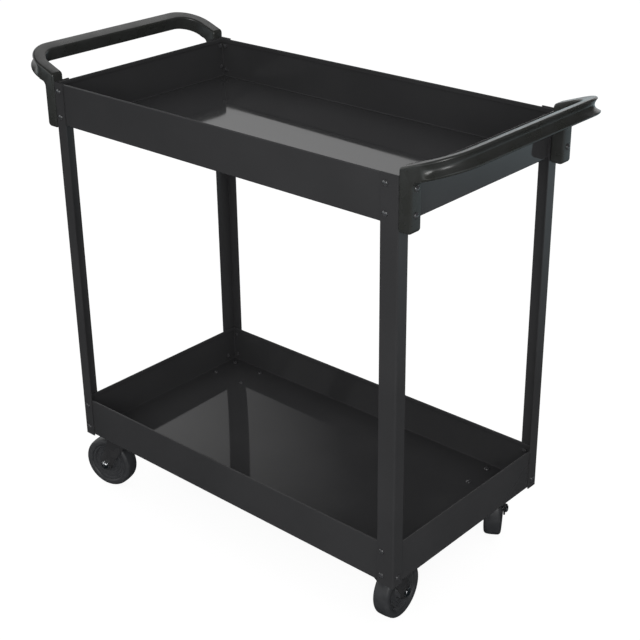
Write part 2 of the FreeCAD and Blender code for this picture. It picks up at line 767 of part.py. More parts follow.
def main():
    fill_sheet()
    build_upper_tray()
    build_lower_tray()
    for corner in CORNERS:
        build_leg(corner)
    build_grip("right_grip", "0")
    build_grip("left_grip", "180")
    build_fasteners()
    for corner in CORNERS:
        build_caster(corner)
    doc.recompute()
    check_document()
    write_pieces()
    print(f"{len(pieces)} pieces written")


main()
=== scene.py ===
"""Two-shelf service cart in gloss black enamel, dressed on its frame and set in a white studio."""
import json
import logging
import math
from dataclasses import dataclass, field
from enum import Enum
from functools import cache

import bpy
import numpy as np
from mathutils import Matrix, Vector


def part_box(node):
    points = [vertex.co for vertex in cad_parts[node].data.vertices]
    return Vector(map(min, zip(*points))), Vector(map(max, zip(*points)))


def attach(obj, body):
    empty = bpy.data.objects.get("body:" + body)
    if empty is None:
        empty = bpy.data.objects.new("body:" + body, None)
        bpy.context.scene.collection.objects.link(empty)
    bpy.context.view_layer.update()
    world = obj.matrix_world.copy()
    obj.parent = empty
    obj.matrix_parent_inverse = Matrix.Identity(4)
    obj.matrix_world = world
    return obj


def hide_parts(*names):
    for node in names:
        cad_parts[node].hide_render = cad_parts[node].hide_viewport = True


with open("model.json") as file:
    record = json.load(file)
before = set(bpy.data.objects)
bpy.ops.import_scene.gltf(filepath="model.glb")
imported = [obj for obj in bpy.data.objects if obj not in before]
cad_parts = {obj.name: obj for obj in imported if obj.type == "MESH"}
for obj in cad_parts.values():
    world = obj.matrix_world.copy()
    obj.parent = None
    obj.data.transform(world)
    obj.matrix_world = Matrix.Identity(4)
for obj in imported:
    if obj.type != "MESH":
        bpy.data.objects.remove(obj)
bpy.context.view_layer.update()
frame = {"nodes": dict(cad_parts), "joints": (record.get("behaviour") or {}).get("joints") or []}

MM = 0.001
Spot = tuple[float, float, float]
LOG = logging.getLogger("cart")

# Both colours' inputs of a mixing node, and its output
MIX_FIRST, MIX_SECOND, MIX_RESULT = 6, 7, 2
# Noise levels at which a patch of a finish begins and is whole, and octaves of both noises
PATCH_BEGINS, PATCH_WHOLE = 0.4, 0.65
PATCH_DETAIL, GRAIN_DETAIL = 4.0, 2.0
# Angle past which an edge of a piece stays sharp
CREASE = math.radians(40)
# Share of Z past which a direction counts as upright
UPRIGHT = 0.9
# Angle from the middle of a hexagon's flat to its corner
HALF_FLAT = math.pi / 6
# Share of its radius that the last ring of a round end keeps
END_SHARE = 0.2
# Points of a tray's arcs: bends, hem, the hem's edge and upright corners
BEND_STEPS, HEM_STEPS, EDGE_STEPS, CORNER_STEPS = 7, 11, 4, 6
# Points of a grip: along arm and bend, across its scooped side, and round its edges and feet
ARM_STEPS, TURN_STEPS, SCOOP_STEPS = 4, 25, 19
OUTER_STEPS, INNER_STEPS, FOOT_STEPS, ROUND_STEPS = 7, 8, 6, 8
# Points round bolts, hexagons, tyres and cores, and along domes, shoulders and treads
BOLT_STEPS, HEX_STEPS, TYRE_STEPS, CORE_STEPS = 32, 72, 128, 96
DOME_STEPS, SHOULDER_STEPS, TREAD_STEPS = 8, 9, 9
# Bolts of each set
BOLT_COUNTS = {"upper_tray": 8, "lower_tray": 12, "grip": 8, "caster": 16}


class Corner(Enum):
    """Corners of the cart that carry a caster, by the name that their pieces end in."""

    FRONT_LEFT = "front_left"
    FRONT_RIGHT = "front_right"
    REAR_LEFT = "rear_left"
    REAR_RIGHT = "rear_right"


class End(Enum):
    """Ends of the cart that carry a grip, as the sign of their X."""

    LEFT = -1
    RIGHT = 1


def linear(colour: str) -> tuple[float, float, float, float]:
    """Turn an sRGB hex colour into linear light by the sRGB curve.

    Args:
        colour: Six hex digits after a hash sign.

    Returns:
        Red, green, blue and an alpha of 1.
    """
    parts = np.array([int(colour[place:place + 2], 16) for place in (1, 3, 5)]) / 255
    light = np.where(parts <= 0.04045, parts / 12.92, ((parts + 0.055) / 1.055) ** 2.4)
    return (*light.tolist(), 1.0)


def add_node(tree: bpy.types.NodeTree, kind: str, feeds: dict | None = None,
             **settings: str) -> bpy.types.Node:
    """Add a node, set its properties and feed its inputs.

    Args:
        tree: Node tree that takes the node.
        kind: Blender's name of the node type.
        feeds: Input name or number to a value, or to the output socket that is linked to it.
        settings: Properties of the node itself.

    Returns:
        The new node.
    """
    made = tree.nodes.new(kind)
    for name, value in settings.items():
        setattr(made, name, value)
    for name, value in (feeds or {}).items():
        if isinstance(value, bpy.types.NodeSocket):
            tree.links.new(value, made.inputs[name])
        else:
            made.inputs[name].default_value = value
    return made


@dataclass(frozen=True)
class Finish:
    """Opaque finish with a fine relief and a slow change of gloss, on the piece's own coordinates.

    Attributes:
        name: What the material is and how its surface was made.
        colour: sRGB hex of the material.
        second: sRGB hex that the colour drifts to in faint patches.
        roughness: Roughness between the patches.
        rough_patch: Roughness inside the patches.
        patch: Size of the patches.
        grain: Size of one grain of the relief.
        relief: Height of the relief.
        metallic: 1 for bare or plated metal.
        specular: Specular level of the shader.
    """

    name: str
    colour: str
    second: str
    roughness: float
    rough_patch: float
    patch: float
    grain: float
    relief: float
    metallic: float = 0.0
    specular: float = 0.5

    @cache
    def build(self) -> bpy.types.Material:
        """Build the material once: patches mix colour and roughness, a grain drives the bump.

        Returns:
            The material.
        """
        material = bpy.data.materials.new(self.name)
        material.use_nodes = True
        tree = material.node_tree
        tree.nodes.clear()
        place = add_node(tree, "ShaderNodeTexCoord").outputs["Object"]
        patches = add_node(tree, "ShaderNodeTexNoise", {
            "Vector": place, "Scale": 1 / self.patch, "Detail": PATCH_DETAIL})
        spread = add_node(tree, "ShaderNodeMapRange", {
            "Value": patches.outputs["Fac"], "From Min": PATCH_BEGINS, "From Max": PATCH_WHOLE})
        tint = add_node(tree, "ShaderNodeMix", {
            "Factor": spread.outputs["Result"], MIX_FIRST: linear(self.colour),
            MIX_SECOND: linear(self.second)}, data_type="RGBA")
        gloss = add_node(tree, "ShaderNodeMapRange", {
            "Value": spread.outputs["Result"], "To Min": self.roughness,
            "To Max": self.rough_patch})
        grains = add_node(tree, "ShaderNodeTexNoise", {
            "Vector": place, "Scale": 1 / self.grain, "Detail": GRAIN_DETAIL})
        bump = add_node(tree, "ShaderNodeBump", {
            "Height": grains.outputs["Fac"], "Distance": self.relief, "Strength": 1.0})
        shader = add_node(tree, "ShaderNodeBsdfPrincipled", {
            "Base Color": tint.outputs[MIX_RESULT], "Roughness": gloss.outputs["Result"],
            "Normal": bump.outputs["Normal"], "Metallic": self.metallic,
            "Specular IOR Level": self.specular})
        add_node(tree, "ShaderNodeOutputMaterial", {"Surface": shader.outputs["BSDF"]})
        return material


# Baked enamel: a hard black gloss with the faint orange peel of sprayed paint, so that
# reflections waver a little
BAKED_ENAMEL = Finish(
    "gloss_black_baked_enamel", "#333334", "#363637", roughness=0.04, rough_patch=0.07,
    patch=180 * MM, grain=4.0 * MM, relief=0.003 * MM, specular=0.26)
# Polypropylene from a grained mould: half-gloss black that turns grey where light grazes it
GRAINED_PLASTIC = Finish(
    "moulded_black_polypropylene", "#2c2d2b", "#303130", roughness=0.26, rough_patch=0.34,
    patch=40 * MM, grain=0.9 * MM, relief=0.01 * MM)
# Black oxide steel: dark, with a bright glint on each rounded edge
BLACK_BOLT = Finish(
    "black_oxide_steel", "#3c3c3e", "#363637", roughness=0.1, rough_patch=0.18,
    patch=6 * MM, grain=0.6 * MM, relief=0.002 * MM, specular=1.0)
# Bright zinc on cold-headed steel: pale metal with a soft glint
ZINC_PLATE = Finish(
    "bright_zinc_plated_steel", "#e2e4e6", "#d0d2d4", roughness=0.22, rough_patch=0.32,
    patch=5 * MM, grain=0.5 * MM, relief=0.01 * MM, metallic=1.0)
# Black powder coat on the casters' pressings: half gloss with a pebbled skin
POWDER_COAT = Finish(
    "black_powder_coat", "#2f2f30", "#333334", roughness=0.24, rough_patch=0.34,
    patch=30 * MM, grain=1.2 * MM, relief=0.02 * MM, specular=0.35)
# Hard rubber: dull black with faint paler scuffs
HARD_RUBBER = Finish(
    "hard_black_rubber", "#333436", "#393a3c", roughness=0.34, rough_patch=0.5,
    patch=14 * MM, grain=0.8 * MM, relief=0.02 * MM, specular=0.4)
# Nylon from a smooth mould: dark grey with a half-gloss sheen along the core's rings
WHEEL_NYLON = Finish(
    "moulded_black_nylon", "#393a3c", "#3e3f41", roughness=0.26, rough_patch=0.36,
    patch=20 * MM, grain=1.0 * MM, relief=0.02 * MM)


@dataclass
class Shell:
    """One closed surface: points, faces of four and end faces of many sides.

    Attributes:
        points: Places, one row each.
        quads: Four numbers of points for each face.
        caps: Rings of numbers of points, each one face.
    """

    points: np.ndarray
    quads: np.ndarray
    caps: list[np.ndarray] = field(default_factory=list)

    def volume(self) -> float:
        """Signed volume, as the sum of the wedges from the middle to each triangle.

        Returns:
            The volume, below zero where the faces point inwards.
        """
        places = self.points - self.points.mean(axis=0)
        triangles = [self.quads[:, (0, 1, 2)], self.quads[:, (0, 2, 3)]]
        triangles += [np.stack([np.full(len(ring) - 2, ring[0]), ring[1:-1], ring[2:]], axis=1)
                      for ring in self.caps]
        corners = places[np.vstack(triangles)]
        wedges = np.einsum("ij,ij->i", corners[:, 0], np.cross(corners[:, 1], corners[:, 2]))
        return float(wedges.sum() / 6)

    def outward(self) -> "Shell":
        """Turn the faces outwards.

        Returns:
            This surface, or one with its faces the other way round.
        """
        if self.volume() >= 0:
            return self
        return Shell(self.points, self.quads[:, ::-1], [ring[::-1] for ring in self.caps])


def tube(rings: np.ndarray, closed: bool = False) -> Shell:
    """Join rings of points to a closed skin: neighbours along and across make faces of four.

    Args:
        rings: Points as rings by places round the ring by XYZ.
        closed: Whether the last ring joins the first. If not, both ends get a cap.

    Returns:
        The skin, with its faces outwards.
    """
    count, around, _ = rings.shape
    index = np.arange(count * around).reshape(count, around)
    last = index if closed else index[:-1]
    following = np.roll(index, -1, axis=0)[:len(last)]
    quads = np.stack([last, np.roll(last, -1, axis=1),
                      np.roll(following, -1, axis=1), following], axis=-1)
    caps = [] if closed else [index[0][::-1], index[-1]]
    return Shell(rings.reshape(-1, 3), quads.reshape(-1, 4), caps).outward()


def arc(centre: tuple[float, float], radius: float, start: float, end: float,
        steps: int) -> np.ndarray:
    """Points of a circular arc.

    Args:
        centre: Middle of the circle.
        radius: Radius of the circle.
        start: Angle of the first point in degrees.
        end: Angle of the last point in degrees.
        steps: Number of points.

    Returns:
        Pairs of coordinates, one row each.
    """
    angle = np.radians(np.linspace(start, end, steps))
    return np.array(centre) + radius * np.stack([np.cos(angle), np.sin(angle)], axis=1)


def round_corners(corners: list[tuple[float, float, float]]) -> np.ndarray:
    """Outline through corners, each replaced by an arc that touches both of its sides.

    The arc's middle lies on the corner's bisector, at the radius over the sine of half the
    corner's angle.

    Args:
        corners: Coordinates and rounding radius of each corner, in order.

    Returns:
        Pairs of coordinates round the outline.
    """
    places = np.array([corner[:2] for corner in corners])
    share = np.linspace(0, 1, ROUND_STEPS)[:, None]
    outline = []
    for place, before, after, (_, _, radius) in zip(
            places, np.roll(places, 1, 0), np.roll(places, -1, 0), corners):
        if radius <= 0:
            outline.append(place[None])
            continue
        back = (before - place) / np.linalg.norm(before - place)
        on = (after - place) / np.linalg.norm(after - place)
        half = math.acos(float(np.clip(back @ on, -1, 1))) / 2
        bisector = (back + on) / np.linalg.norm(back + on)
        middle = place + bisector * radius / math.sin(half)
        first, last = (place + side * radius / math.tan(half) - middle for side in (back, on))
        turn = math.acos(float(np.clip(first @ last / radius ** 2, -1, 1)))
        swung = np.sin((1 - share) * turn) * first + np.sin(share * turn) * last
        outline.append(middle + swung / math.sin(turn))
    return np.vstack(outline)


def spokes(axis: np.ndarray, steps: int) -> tuple[np.ndarray, np.ndarray, np.ndarray]:
    """Directions evenly round an axis.

    Each is the cosine of its angle times one direction square to the axis, plus the sine times
    the other.

    Args:
        axis: Direction of the axis.
        steps: Number of directions.

    Returns:
        The axis at length 1, the angle of each direction, and the directions.
    """
    along = axis / np.linalg.norm(axis)
    helper = np.eye(3)[2 if abs(along[2]) < UPRIGHT else 0]
    first = np.cross(along, helper)
    first /= np.linalg.norm(first)
    second = np.cross(along, first)
    angle = np.linspace(0, 2 * np.pi, steps, endpoint=False)
    return along, angle, np.cos(angle)[:, None] * first + np.sin(angle)[:, None] * second


def turned(profile: np.ndarray, centre: np.ndarray, axis: np.ndarray, steps: int,
           closed: bool = False) -> Shell:
    """Turn a profile about an axis: each point goes round the circle of its own radius.

    Args:
        profile: Radius and distance along the axis of each point.
        centre: Where the axis distance is 0.
        axis: Direction of the axis.
        steps: Points round the circle.
        closed: Whether the profile is a loop.

    Returns:
        The turned skin.
    """
    along, _, spoke = spokes(axis, steps)
    out, up = profile.T[..., None, None]
    return tube(centre + out * spoke + up * along, closed)


def hexagonal(across: float, chamfer: tuple[float, float], flank: float, crown: np.ndarray,
              seat: np.ndarray, axis: np.ndarray) -> Shell:
    """Hexagon bar cut by a turned profile: at each angle the smaller of flat and level.

    A flat's reach is half the width across flats over the cosine of the angle from the middle
    of the flat. The profile bevels the seat, runs up the corners and goes in over the crown.

    Args:
        across: Width across flats.
        chamfer: Width and height of the bevel at the seat.
        flank: Height at which the corners end.
        crown: Largest radius and height of each level above.
        seat: Middle of the seat.
        axis: Direction away from the seat.

    Returns:
        The cut bar.
    """
    corner = across / 2 / math.cos(HALF_FLAT)
    bevel, lift = chamfer
    levels = np.vstack([[[corner - bevel, 0.0], [corner, lift], [corner, flank]], crown])
    along, angle, spoke = spokes(axis, HEX_STEPS)
    flat = across / 2 / np.cos((angle + HALF_FLAT) % (2 * HALF_FLAT) - HALF_FLAT)
    radius = np.minimum(flat, levels[:, :1])
    return tube(seat + radius[..., None] * spoke + levels[:, 1, None, None] * along)


def dress(node: str, finish: Finish) -> None:
    """Give a node of the frame its finish.

    Args:
        node: Name of the node.
        finish: Finish that its one slot takes.
    """
    mesh = frame["nodes"][node].data
    mesh.materials.clear()
    mesh.materials.append(finish.build())
    LOG.info("%s in %s", node, finish.name)


def make_piece(name: str, shells: list[Shell], finish: Finish, body: str,
               nodes: tuple[str, ...]) -> None:
    """Make one object of closed skins and set it on its body.

    Args:
        name: Name of the piece.
        shells: Skins that the piece consists of.
        finish: Its finish.
        body: Body that it moves with.
        nodes: Nodes of the frame that it stands for.
    """
    starts = np.cumsum([0] + [len(shell.points) for shell in shells])
    pairs = list(zip(starts, shells))
    faces = [face for start, shell in pairs for face in (shell.quads + start).tolist()]
    faces += [(ring + start).tolist() for start, shell in pairs for ring in shell.caps]
    mesh = bpy.data.meshes.new(name)
    points = np.vstack([shell.points for shell in shells]).tolist()
    mesh.from_pydata(points, [], faces, shade_flat=False)
    mesh.set_sharp_from_angle(angle=CREASE)
    mesh.materials.append(finish.build())
    piece = bpy.data.objects.new(name, mesh)
    bpy.context.scene.collection.objects.link(piece)
    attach(piece, body)
    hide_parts(*nodes)
    LOG.info("%s: %d faces", name, len(faces))


def points_of(node: str) -> np.ndarray:
    """Read the places of a node's vertices.

    Args:
        node: Name of the node.

    Returns:
        Places, one row each.
    """
    mesh = frame["nodes"][node].data
    places = np.empty(len(mesh.vertices) * 3)
    mesh.vertices.foreach_get("co", places)
    return places.reshape(-1, 3)


def solids_of(node: str, count: int) -> tuple[np.ndarray, np.ndarray]:
    """Boxes of the equal solids that a node of the frame holds.

    Args:
        node: Name of the node.
        count: Number of solids, whose triangles follow each other.

    Returns:
        Lowest and highest corners, one row for each solid.
    """
    mesh = frame["nodes"][node].data
    corners = np.empty(len(mesh.loops), int)
    mesh.loops.foreach_get("vertex_index", corners)
    groups = points_of(node)[corners].reshape(count, -1, 3)
    return groups.min(axis=1), groups.max(axis=1)


@dataclass
class Tray:
    """Pressed tray with a rolled hem.

    Attributes:
        node: Node that gives its place and that it stands for.
        gauge: Thickness of the sheet, and radius of the hem's fold.
        hem: Height of the folded rim.
        cut: Rounding of the hem's cut edge.
        bend: Outer radius of the bend round the floor.
        corner: Outer radius of the upright corners.
        tight: Smallest radius of an inner corner.
    """

    node: str
    gauge: float = 1.5 * MM
    hem: float = 8.0 * MM
    cut: float = 0.45 * MM
    bend: float = 2.5 * MM
    corner: float = 3.0 * MM
    tight: float = 0.8 * MM

    def section(self, depth: float) -> np.ndarray:
        """Section of the wall as distance in from the outside and height over the underside.

        It runs round the outer bend, up the wall, over the hem's half circle and down the
        inside to the floor.

        Args:
            depth: Height of the tray.

        Returns:
            Pairs of inset and height.
        """
        inner_bend = self.bend - self.gauge / 2
        inner = self.gauge + inner_bend
        edge = (2 * self.gauge - self.cut, depth - self.hem + self.cut)
        return np.vstack([
            arc((self.bend, self.bend), self.bend, 270, 180, BEND_STEPS),
            arc((self.gauge, depth - self.gauge), self.gauge, 180, 0, HEM_STEPS),
            arc(edge, self.cut, 0, -90, EDGE_STEPS),
            [[self.gauge, depth - self.hem]],
            arc((inner, inner), inner_bend, 180, 270, BEND_STEPS),
        ])

    def build(self) -> None:
        """Carry the section round a rounded rectangle and close it with the floor's two faces.

        A point of the section runs round a rectangle that is smaller by its inset, and so is
        its corner radius.
        """
        low, high = (np.array(corner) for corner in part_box(self.node))
        middle, half = (low + high) / 2, (high - low) / 2
        inset, height = self.section(high[2] - low[2]).T
        radius = np.maximum(self.corner - inset, self.tight)[:, None]
        angle = np.radians(np.concatenate([
            np.linspace(start, start + 90, CORNER_STEPS) for start in (0, 90, 180, 270)]))
        quarter = np.repeat(np.arange(4), CORNER_STEPS)
        side_x = np.where(quarter % 3 == 0, 1.0, -1.0)
        side_y = np.where(quarter < 2, 1.0, -1.0)
        x = middle[0] + side_x * (half[0] - inset[:, None] - radius) + radius * np.cos(angle)
        y = middle[1] + side_y * (half[1] - inset[:, None] - radius) + radius * np.sin(angle)
        z = np.broadcast_to(low[2] + height[:, None], x.shape)
        skin = tube(np.stack([x, y, z], axis=-1))
        make_piece(f"{self.node}_pressing", [skin], BAKED_ENAMEL, "frame",
                   (self.node,))


@dataclass
class Grip:
    """Moulded grip: two feet whose arms bend into one bar with a scooped outer side.

    Attributes:
        node: Node that gives its place and that it stands for.
        end: End of the cart that it is on.
        tilt: Slope of arms and bar in degrees.
        width: Width of the bar in its sloping plane.
        height: Height of the bar across that plane.
        bend: Radius of the bends' middle line.
        rounding: Radius of the bar's edges.
        bevel: Bevel of the node's bar, over which its box is measured.
        scoop: Depth of the scooped side.
        run_out: Length over which the scoop runs out at both ends.
        outer_angle: Angle past the scooped side at which its edges' arcs begin, in degrees.
        foot_depth: Depth of a foot out from its leg.
        foot_round: Radius of the foot's outer corners.
        heel: Radius of the foot's lower corner at the leg.
        arm_fillet: Radius between foot and arm.
        seam: How far the bar runs on along each arm.
        tuck: How far short of the bend a foot's arm ends.
        skin: How far the foot's arm lies inside the bar's skin.
        face: X of the leg's face that the feet lie on.
        bottom: Z of the feet's lower ends.
        side: Y of the feet's outer sides.
        outwards: Direction out of the cart in the sloping plane.
        normal: Direction up from that plane.
        middle: Middle of the bar's section.
    """

    node: str
    end: End
    tilt: float = 20.0
    width: float = 23.5 * MM
    height: float = 26.5 * MM
    bend: float = 47.0 * MM
    rounding: float = 3.5 * MM
    bevel: float = 2.5 * MM
    scoop: float = 7.0 * MM
    run_out: float = 16.0 * MM
    outer_angle: float = 12.0
    foot_depth: float = 24.0 * MM
    foot_round: float = 7.0 * MM
    heel: float = 4.0 * MM
    arm_fillet: float = 8.0 * MM
    seam: float = 6.0 * MM
    tuck: float = 2.0 * MM
    skin: float = 0.05 * MM
    face: float = field(init=False)
    bottom: float = field(init=False)
    side: float = field(init=False)
    outwards: np.ndarray = field(init=False)
    normal: np.ndarray = field(init=False)
    middle: np.ndarray = field(init=False)

    def __post_init__(self) -> None:
        """Read the grip's place from its node, as if it were on the right."""
        low, high = (np.array(corner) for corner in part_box(self.node))
        if self.end is End.LEFT:
            low[0], high[0] = -high[0], -low[0]
        self.face, self.bottom, self.side = low[0], low[2], high[1]
        slope = math.radians(self.tilt)
        self.outwards = np.array([math.cos(slope), 0.0, math.sin(slope)])
        self.normal = np.array([-math.sin(slope), 0.0, math.cos(slope)])
        half_width, half_height = self.width / 2, self.height / 2
        low_edge = self.outwards * half_width - self.normal * (half_height - self.bevel)
        high_edge = self.outwards * (half_width - self.bevel) + self.normal * half_height
        self.middle = np.array([high[0] - low_edge[0], 0.0, high[2] - high_edge[2]])

    def foot(self, across: int) -> Shell:
        """Foot and arm: a side outline carried across the width.

        It is drawn in along a quarter circle at both sides.

        Args:
            across: Sign of the foot's Y.

        Returns:
            Its skin.
        """
        outer = self.face + self.foot_depth
        slope = math.tan(math.radians(self.tilt))
        arm_end = self.middle - self.outwards * (self.bend + self.tuck)
        low, high = (arm_end + self.normal * sign * self.height / 2 for sign in (-1, 1))
        outline = round_corners([
            (self.face, self.bottom, self.heel),
            (outer, self.bottom, self.foot_round),
            (outer, low[2] + (outer - low[0]) * slope, self.arm_fillet),
            (low[0], low[2], 0),
            (high[0], high[2], 0),
            (self.face, high[2] + (self.face - high[0]) * slope, self.foot_round),
        ])
        ahead = np.roll(outline, -1, axis=0) - np.roll(outline, 1, axis=0)
        inward = np.stack([-ahead[:, 1], ahead[:, 0]], axis=1)
        inward /= np.linalg.norm(ahead, axis=1)[:, None]
        turn = np.radians(np.linspace(0, 90, FOOT_STEPS))
        inset = self.rounding * (1 - np.sin(turn))
        step = self.rounding * (1 - np.cos(turn)) + self.skin
        inset = np.concatenate([inset, inset[::-1]]) + self.skin
        step = np.concatenate([step, self.width - step[::-1]])
        drawn = outline + inward * inset[:, None, None]
        y = across * (self.side - np.broadcast_to(step[:, None], drawn.shape[:2]))
        return tube(np.stack([drawn[..., 0], y, drawn[..., 1]], axis=-1))

    def spine(self) -> tuple[np.ndarray, np.ndarray, np.ndarray]:
        """Middle line from arm to arm in the sloping plane, with the outward direction.

        Returns:
            Distance out and Y of each point, the outward direction there, and how deep the
            scoop is, 0 to 1.
        """
        reach = self.side - self.width / 2
        arm_out = np.linspace(-self.bend - self.seam, -self.bend, ARM_STEPS + 1)[:-1]
        half_line = np.vstack([
            np.stack([arm_out, np.full(ARM_STEPS, -reach)], axis=1),
            arc((-self.bend, self.bend - reach), self.bend, -90, 0, TURN_STEPS),
        ])
        angle = np.concatenate([np.full(ARM_STEPS, -90.0), np.linspace(-90, 0, TURN_STEPS)])
        angle = np.radians(np.concatenate([angle, -angle[::-1]]))
        line = np.vstack([half_line, half_line[::-1] * (1, -1)])
        facing = np.stack([np.cos(angle), np.sin(angle)], axis=1)
        spans = np.linalg.norm(np.diff(line, axis=0), axis=1)
        travelled = np.concatenate([[0], np.cumsum(spans)])
        from_end = np.minimum(travelled, travelled[-1] - travelled)
        ease = np.clip((from_end - self.seam) / self.run_out, 0, 1)
        return line, facing, ease ** 2 * (3 - 2 * ease)

    def section(self) -> tuple[np.ndarray, np.ndarray]:
        """Section of the bar: a rounded rectangle, and how far each point draws in for the scoop.

        The scoop is an arch across the outer side: 1 minus the square of the place between the
        rounded edges.

        Returns:
            Outward and upward place of each point, and the scoop's depth there.
        """
        radius = self.rounding
        out, rise = self.width / 2 - radius, self.height / 2 - radius
        face = np.linspace(-rise, rise, SCOOP_STEPS)
        points = np.vstack([
            np.stack([np.full(SCOOP_STEPS, self.width / 2), face], axis=1),
            arc((out, rise), radius, self.outer_angle, 90, OUTER_STEPS),
            arc((-out, rise), radius, 90, 180, INNER_STEPS),
            arc((-out, -rise), radius, 180, 270, INNER_STEPS),
            arc((out, -rise), radius, 270, 360 - self.outer_angle, OUTER_STEPS),
        ])
        depth = np.zeros(len(points))
        depth[:SCOOP_STEPS] = self.scoop * (1 - (face / rise) ** 2)
        return points, depth

    def bar(self) -> Shell:
        """Bar and bends: the section carried along the spine, scooped as deep as it says there.

        Returns:
            Their skin.
        """
        line, facing, share = self.spine()
        points, depth = self.section()
        out = points[:, 0] - depth * share[:, None]
        flat = line[:, None] + facing[:, None] * out[..., None]
        across = flat[..., 1:] * np.array([0.0, 1.0, 0.0])
        rings = self.middle + flat[..., :1] * self.outwards + across
        return tube(rings + points[:, 1, None] * self.normal)

    def build(self) -> None:
        """Build both feet and the bar, and turn the left grip half round the cart's middle."""
        shells = [self.foot(-1), self.foot(1), self.bar()]
        for shell in shells:
            shell.points = shell.points * (self.end.value, self.end.value, 1)
        make_piece(f"{self.node}_moulding", shells, GRAINED_PLASTIC, "frame",
                   (self.node,))


@dataclass
class FastenerSet:
    """Bolts with low domed heads and the cap nuts on their far ends.

    Attributes:
        name: Start of the names of the two nodes.
        count: Number of bolts.
        head_height: Height of a head.
        head_radius: Radius of a head.
        rim: Height of the head's rim under its dome.
        dome: Angles at which the dome begins and ends, in degrees.
        neck: Radius of the shank.
        across: Width of a nut across flats.
        chamfer: Width and height of the bevel at a nut's seat.
        shares: Shares of a nut's height where its corners end, its top lies, and the bolt's
            end leaves it and begins to narrow.
        land: How far a nut's top lies inside its flats.
        collar: How much wider the bolt's end is where it leaves the nut.
        tip: Share of the shank's radius at the bolt's tip.
    """

    name: str
    count: int
    head_height: float = 3.0 * MM
    head_radius: float = 5.0 * MM
    rim: float = 0.8 * MM
    dome: tuple[float, float] = (8.0, 84.0)
    neck: float = 2.5 * MM
    across: float = 8.0 * MM
    chamfer: tuple[float, float] = (0.4 * MM, 0.25 * MM)
    shares: tuple[float, float, float, float] = (0.62, 0.74, 0.76, 0.9)
    land: float = 0.1 * MM
    collar: float = 0.2 * MM
    tip: float = 0.6

    def axes(self, low: np.ndarray, high: np.ndarray) -> tuple[np.ndarray, np.ndarray]:
        """Axis of each bolt, away from the cart's middle or upwards, and its length.

        It is the side of the bolt's box that differs most from the middle one of the three.

        Args:
            low: Lowest corners of the bolts.
            high: Highest corners of the bolts.

        Returns:
            Directions, and lengths along them.
        """
        spans = high - low
        middles = (low + high) / 2
        odd = np.abs(spans - np.median(spans, axis=1)[:, None]).argmax(axis=1)
        rows = np.arange(len(spans))
        directions = np.zeros_like(spans)
        directions[rows, odd] = np.where(odd == 2, 1.0, np.sign(middles[rows, odd]))
        return directions, spans[rows, odd]

    def bolt(self, top: np.ndarray, axis: np.ndarray, length: float) -> Shell:
        """Bolt turned from its shank's end over the head's rim to a domed top.

        Args:
            top: Middle of the head's top.
            axis: Direction out of the head.
            length: Length from the shank's end to the head's top.

        Returns:
            Its skin.
        """
        dome = np.radians(np.linspace(*self.dome, DOME_STEPS))
        seat, rim = -self.head_height, self.rim - self.head_height
        profile = np.vstack([
            [[END_SHARE * self.neck, -length], [self.neck, -length], [self.neck, seat]],
            [[self.head_radius, seat], [self.head_radius, rim]],
            np.stack([self.head_radius * np.cos(dome), rim * (1 - np.sin(dome))], axis=1),
        ])
        return turned(profile, top, axis, BOLT_STEPS)

    def nut(self, seat: np.ndarray, axis: np.ndarray, height: float) -> Shell:
        """Cap nut: a hexagon with chamfered corners and the rounded end of the bolt on top.

        Args:
            seat: Middle of the face that lies on the sheet.
            axis: Direction away from the sheet.
            height: Height of the nut.

        Returns:
            Its skin.
        """
        flank, top, outlet, shoulder = (share * height for share in self.shares)
        crown = np.array([
            [self.across / 2 - self.land, top],
            [self.neck + self.collar, outlet],
            [self.neck, shoulder],
            [self.tip * self.neck, height],
        ])
        return hexagonal(self.across, self.chamfer, flank, crown, seat, axis)

    def build(self) -> None:
        """Build all bolts as one piece and all nuts as another, at the places of the solids."""
        low, high = solids_of(f"{self.name}_bolts", self.count)
        directions, lengths = self.axes(low, high)
        middles = (low + high) / 2
        halves = directions * lengths[:, None] / 2
        tops, seats = middles + halves, middles - halves
        bolts = [self.bolt(*place) for place in zip(tops, directions, lengths)]
        make_piece(f"{self.name}_bolt_set", bolts, BLACK_BOLT, "frame",
                   (f"{self.name}_bolts",))
        nut_low, nut_high = solids_of(f"{self.name}_nuts", self.count)
        height = float((nut_high - nut_low).min())
        nuts = [self.nut(seat, -axis, height) for seat, axis in zip(seats, directions)]
        make_piece(f"{self.name}_nut_set", nuts, BLACK_BOLT, "frame",
                   (f"{self.name}_nuts",))


# Tyre's side from the rim up: height over the rim, and distance in from the tyre's widest place
TYRE_SIDE = np.array([[0.0, 3.1], [1.5, 1.2], [4.0, 0.2]]) * MM
# Web of the wheel's core as radius and distance from the wheel's middle: the hub's foot, the
# dish with its raised ring, and the slope up to the rim
CORE_WEB = np.array([
    [14.5, 9.0], [16.0, 7.5], [22.0, 7.0], [23.0, 8.4], [25.5, 8.4], [26.5, 7.0], [31.0, 7.4],
    [33.0, 11.0], [36.9, 11.8]]) * MM


